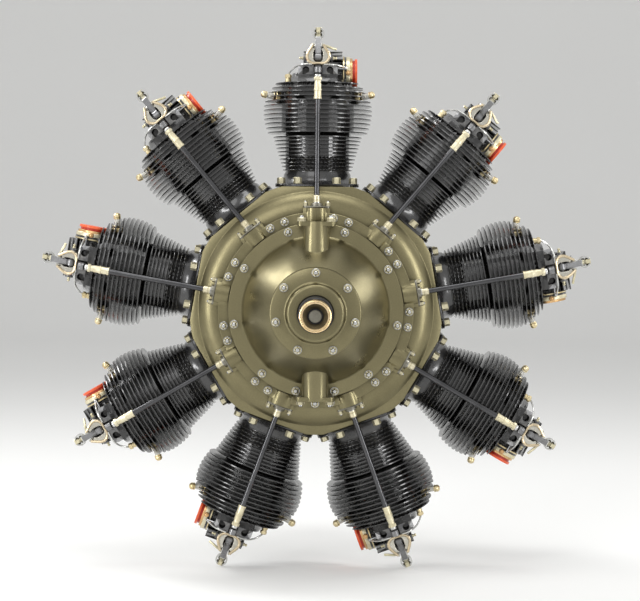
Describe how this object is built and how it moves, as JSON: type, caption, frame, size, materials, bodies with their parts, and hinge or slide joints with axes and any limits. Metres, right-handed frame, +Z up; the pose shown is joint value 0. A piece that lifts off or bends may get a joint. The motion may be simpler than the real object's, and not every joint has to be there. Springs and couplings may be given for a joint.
{
  "type": "radial aircraft engine",
  "caption": "Air-cooled radial aircraft engine with finned cylinders, open rockers and pushrods, a nose cone and a rear mounting face.",
  "frame": {"origin": "centre of the bolt circle on the rear mounting face", "axes": "+Y along the crank axis towards the rear, +Z up through the top cylinder, the propeller shaft towards -Y"},
  "size_m": [1.1452, 0.758, 1.1277],
  "materials": {
    "cast_alloy": "aged cast alloy with an olive tint",
    "black_enamel": "gloss black baked enamel",
    "machined_alloy": "machined alloy",
    "brass": "pale brass",
    "bronze": "worn bronze",
    "red_blank": "red blanking plug",
    "dark_steel": "dark forged steel",
    "polished_steel": "polished steel",
    "plated_steel": "cadmium plated steel",
    "cast_iron": "ground cast iron"
  },
  "bodies": {
    "root": {"articulated_rods": "polished_steel", "cam_case": "cast_alloy", "carburettor": "machined_alloy", "case_nuts": "plated_steel", "cover_screws": "plated_steel", "crankcase_front": "cast_alloy", "crankcase_rear": "cast_alloy", "crankpin": "polished_steel", "cylinder_barrels": "black_enamel", "cylinder_heads": "black_enamel", "magnetos": "black_enamel", "main_bearings": "polished_steel", "master_rod": "polished_steel", "nose_cone": "cast_alloy", "oil_pump": "cast_alloy", "piston_rings": "cast_iron", "pistons": "machined_alloy", "port_blanks": "red_blank", "port_flanges": "brass", "rear_cover": "cast_alloy", "rocker_brackets": "bronze", "rocker_pins": "dark_steel", "rocker_saddles": "dark_steel", "rod_pins": "polished_steel", "spark_plugs": "brass", "tappet_guides": "machined_alloy", "thrust_cover": "cast_alloy", "valve_guides": "bronze"},
    "crankshaft": {"crankshaft_front": "dark_steel", "crankshaft_rear": "dark_steel", "prop_nut": "bronze"},
    "cam": {"cam_drum": "dark_steel"},
    "throttle": {"throttle_plate": "brass"},
    "pushrod_1": {"pushrod_1": "polished_steel"},
    "rocker_1": {"rocker_1": "dark_steel"},
    "valve_1": {"valve_1": "polished_steel"},
    "pushrod_2": {"pushrod_2": "polished_steel"},
    "rocker_2": {"rocker_2": "dark_steel"},
    "valve_2": {"valve_2": "polished_steel"},
    "pushrod_3": {"pushrod_3": "polished_steel"},
    "rocker_3": {"rocker_3": "dark_steel"},
    "valve_3": {"valve_3": "polished_steel"},
    "pushrod_4": {"pushrod_4": "polished_steel"},
    "rocker_4": {"rocker_4": "dark_steel"},
    "valve_4": {"valve_4": "polished_steel"},
    "pushrod_5": {"pushrod_5": "polished_steel"},
    "rocker_5": {"rocker_5": "dark_steel"},
    "valve_5": {"valve_5": "polished_steel"},
    "pushrod_6": {"pushrod_6": "polished_steel"},
    "rocker_6": {"rocker_6": "dark_steel"},
    "valve_6": {"valve_6": "polished_steel"},
    "pushrod_7": {"pushrod_7": "polished_steel"},
    "rocker_7": {"rocker_7": "dark_steel"},
    "valve_7": {"valve_7": "polished_steel"},
    "pushrod_8": {"pushrod_8": "polished_steel"},
    "rocker_8": {"rocker_8": "dark_steel"},
    "valve_8": {"valve_8": "polished_steel"},
    "pushrod_9": {"pushrod_9": "polished_steel"},
    "rocker_9": {"rocker_9": "dark_steel"},
    "valve_9": {"valve_9": "polished_steel"}
  },
  "joints": [
    {"name": "crank_spin", "type": "hinge", "parent": "root", "child": "crankshaft", "pos_m": [0, -0.15, 0], "axis": [0, 1, 0], "continuous": true},
    {"name": "cam_spin", "type": "hinge", "parent": "root", "child": "cam", "pos_m": [0, -0.282, 0], "axis": [0, 1, 0], "continuous": true},
    {"name": "throttle_turn", "type": "hinge", "parent": "root", "child": "throttle", "pos_m": [0, 0.13, -0.1392], "axis": [1, 0, 0], "range_deg": [0, 75]},
    {"name": "pushrod_lift_1", "type": "slide", "parent": "root", "child": "pushrod_1", "axis": [0, 0, 1], "range_m": [0, 0.008], "stiffness_N_per_m": 20000},
    {"name": "rocker_swing_1", "type": "hinge", "parent": "root", "child": "rocker_1", "pos_m": [0, -0.205, 0.512], "axis": [-1, 0, 0], "range_deg": [0, 5.96]},
    {"name": "valve_lift_1", "type": "slide", "parent": "root", "child": "valve_1", "axis": [0, 0, -1], "range_m": [0, 0.00621]},
    {"name": "pushrod_lift_2", "type": "slide", "parent": "root", "child": "pushrod_2", "axis": [0.6428, 0, 0.766], "range_m": [0, 0.008], "stiffness_N_per_m": 20000},
    {"name": "rocker_swing_2", "type": "hinge", "parent": "root", "child": "rocker_2", "pos_m": [0.32911, -0.205, 0.39221], "axis": [-0.766, 0, 0.6428], "range_deg": [0, 5.96]},
    {"name": "valve_lift_2", "type": "slide", "parent": "root", "child": "valve_2", "axis": [-0.6428, 0, -0.766], "range_m": [0, 0.00621]},
    {"name": "pushrod_lift_3", "type": "slide", "parent": "root", "child": "pushrod_3", "axis": [0.9848, 0, 0.1736], "range_m": [0, 0.008], "stiffness_N_per_m": 20000},
    {"name": "rocker_swing_3", "type": "hinge", "parent": "root", "child": "rocker_3", "pos_m": [0.50422, -0.205, 0.08891], "axis": [-0.1736, 0, 0.9848], "range_deg": [0, 5.96]},
    {"name": "valve_lift_3", "type": "slide", "parent": "root", "child": "valve_3", "axis": [-0.9848, 0, -0.1736], "range_m": [0, 0.00621]},
    {"name": "pushrod_lift_4", "type": "slide", "parent": "root", "child": "pushrod_4", "axis": [0.866, 0, -0.5], "range_m": [0, 0.008], "stiffness_N_per_m": 20000},
    {"name": "rocker_swing_4", "type": "hinge", "parent": "root", "child": "rocker_4", "pos_m": [0.44341, -0.205, -0.256], "axis": [0.5, 0, 0.866], "range_deg": [0, 5.96]},
    {"name": "valve_lift_4", "type": "slide", "parent": "root", "child": "valve_4", "axis": [-0.866, 0, 0.5], "range_m": [0, 0.00621]},
    {"name": "pushrod_lift_5", "type": "slide", "parent": "root", "child": "pushrod_5", "axis": [0.342, 0, -0.9397], "range_m": [0, 0.008], "stiffness_N_per_m": 20000},
    {"name": "rocker_swing_5", "type": "hinge", "parent": "root", "child": "rocker_5", "pos_m": [0.17511, -0.205, -0.48112], "axis": [0.9397, 0, 0.342], "range_deg": [0, 5.96]},
    {"name": "valve_lift_5", "type": "slide", "parent": "root", "child": "valve_5", "axis": [-0.342, 0, 0.9397], "range_m": [0, 0.00621]},
    {"name": "pushrod_lift_6", "type": "slide", "parent": "root", "child": "pushrod_6", "axis": [-0.342, 0, -0.9397], "range_m": [0, 0.008], "stiffness_N_per_m": 20000},
    {"name": "rocker_swing_6", "type": "hinge", "parent": "root", "child": "rocker_6", "pos_m": [-0.17511, -0.205, -0.48112], "axis": [0.9397, 0, -0.342], "range_deg": [0, 5.96]},
    {"name": "valve_lift_6", "type": "slide", "parent": "root", "child": "valve_6", "axis": [0.342, 0, 0.9397], "range_m": [0, 0.00621]},
    {"name": "pushrod_lift_7", "type": "slide", "parent": "root", "child": "pushrod_7", "axis": [-0.866, 0, -0.5], "range_m": [0, 0.008], "stiffness_N_per_m": 20000},
    {"name": "rocker_swing_7", "type": "hinge", "parent": "root", "child": "rocker_7", "pos_m": [-0.44341, -0.205, -0.256], "axis": [0.5, 0, -0.866], "range_deg": [0, 5.96]},
    {"name": "valve_lift_7", "type": "slide", "parent": "root", "child": "valve_7", "axis": [0.866, 0, 0.5], "range_m": [0, 0.00621]},
    {"name": "pushrod_lift_8", "type": "slide", "parent": "root", "child": "pushrod_8", "axis": [-0.9848, 0, 0.1736], "range_m": [0, 0.008], "stiffness_N_per_m": 20000},
    {"name": "rocker_swing_8", "type": "hinge", "parent": "root", "child": "rocker_8", "pos_m": [-0.50422, -0.205, 0.08891], "axis": [-0.1736, 0, -0.9848], "range_deg": [0, 5.96]},
    {"name": "valve_lift_8", "type": "slide", "parent": "root", "child": "valve_8", "axis": [0.9848, 0, -0.1736], "range_m": [0, 0.00621]},
    {"name": "pushrod_lift_9", "type": "slide", "parent": "root", "child": "pushrod_9", "axis": [-0.6428, 0, 0.766], "range_m": [0, 0.008], "stiffness_N_per_m": 20000},
    {"name": "rocker_swing_9", "type": "hinge", "parent": "root", "child": "rocker_9", "pos_m": [-0.32911, -0.205, 0.39221], "axis": [-0.766, 0, -0.6428], "range_deg": [0, 5.96]},
    {"name": "valve_lift_9", "type": "slide", "parent": "root", "child": "valve_9", "axis": [0.6428, 0, -0.766], "range_m": [0, 0.00621]}
  ],
  "couplings": [
    {"joint": "cam_spin", "follows": "crank_spin", "ratio": -0.125},
    {"joint": "rocker_swing_1", "follows": "pushrod_lift_1", "rad_per_m": 12.987},
    {"joint": "valve_lift_1", "follows": "pushrod_lift_1", "ratio": 0.775},
    {"joint": "rocker_swing_2", "follows": "pushrod_lift_2", "rad_per_m": 12.987},
    {"joint": "valve_lift_2", "follows": "pushrod_lift_2", "ratio": 0.775},
    {"joint": "rocker_swing_3", "follows": "pushrod_lift_3", "rad_per_m": 12.987},
    {"joint": "valve_lift_3", "follows": "pushrod_lift_3", "ratio": 0.775},
    {"joint": "rocker_swing_4", "follows": "pushrod_lift_4", "rad_per_m": 12.987},
    {"joint": "valve_lift_4", "follows": "pushrod_lift_4", "ratio": 0.775},
    {"joint": "rocker_swing_5", "follows": "pushrod_lift_5", "rad_per_m": 12.987},
    {"joint": "valve_lift_5", "follows": "pushrod_lift_5", "ratio": 0.775},
    {"joint": "rocker_swing_6", "follows": "pushrod_lift_6", "rad_per_m": 12.987},
    {"joint": "valve_lift_6", "follows": "pushrod_lift_6", "ratio": 0.775},
    {"joint": "rocker_swing_7", "follows": "pushrod_lift_7", "rad_per_m": 12.987},
    {"joint": "valve_lift_7", "follows": "pushrod_lift_7", "ratio": 0.775},
    {"joint": "rocker_swing_8", "follows": "pushrod_lift_8", "rad_per_m": 12.987},
    {"joint": "valve_lift_8", "follows": "pushrod_lift_8", "ratio": 0.775},
    {"joint": "rocker_swing_9", "follows": "pushrod_lift_9", "rad_per_m": 12.987},
    {"joint": "valve_lift_9", "follows": "pushrod_lift_9", "ratio": 0.775}
  ]
}
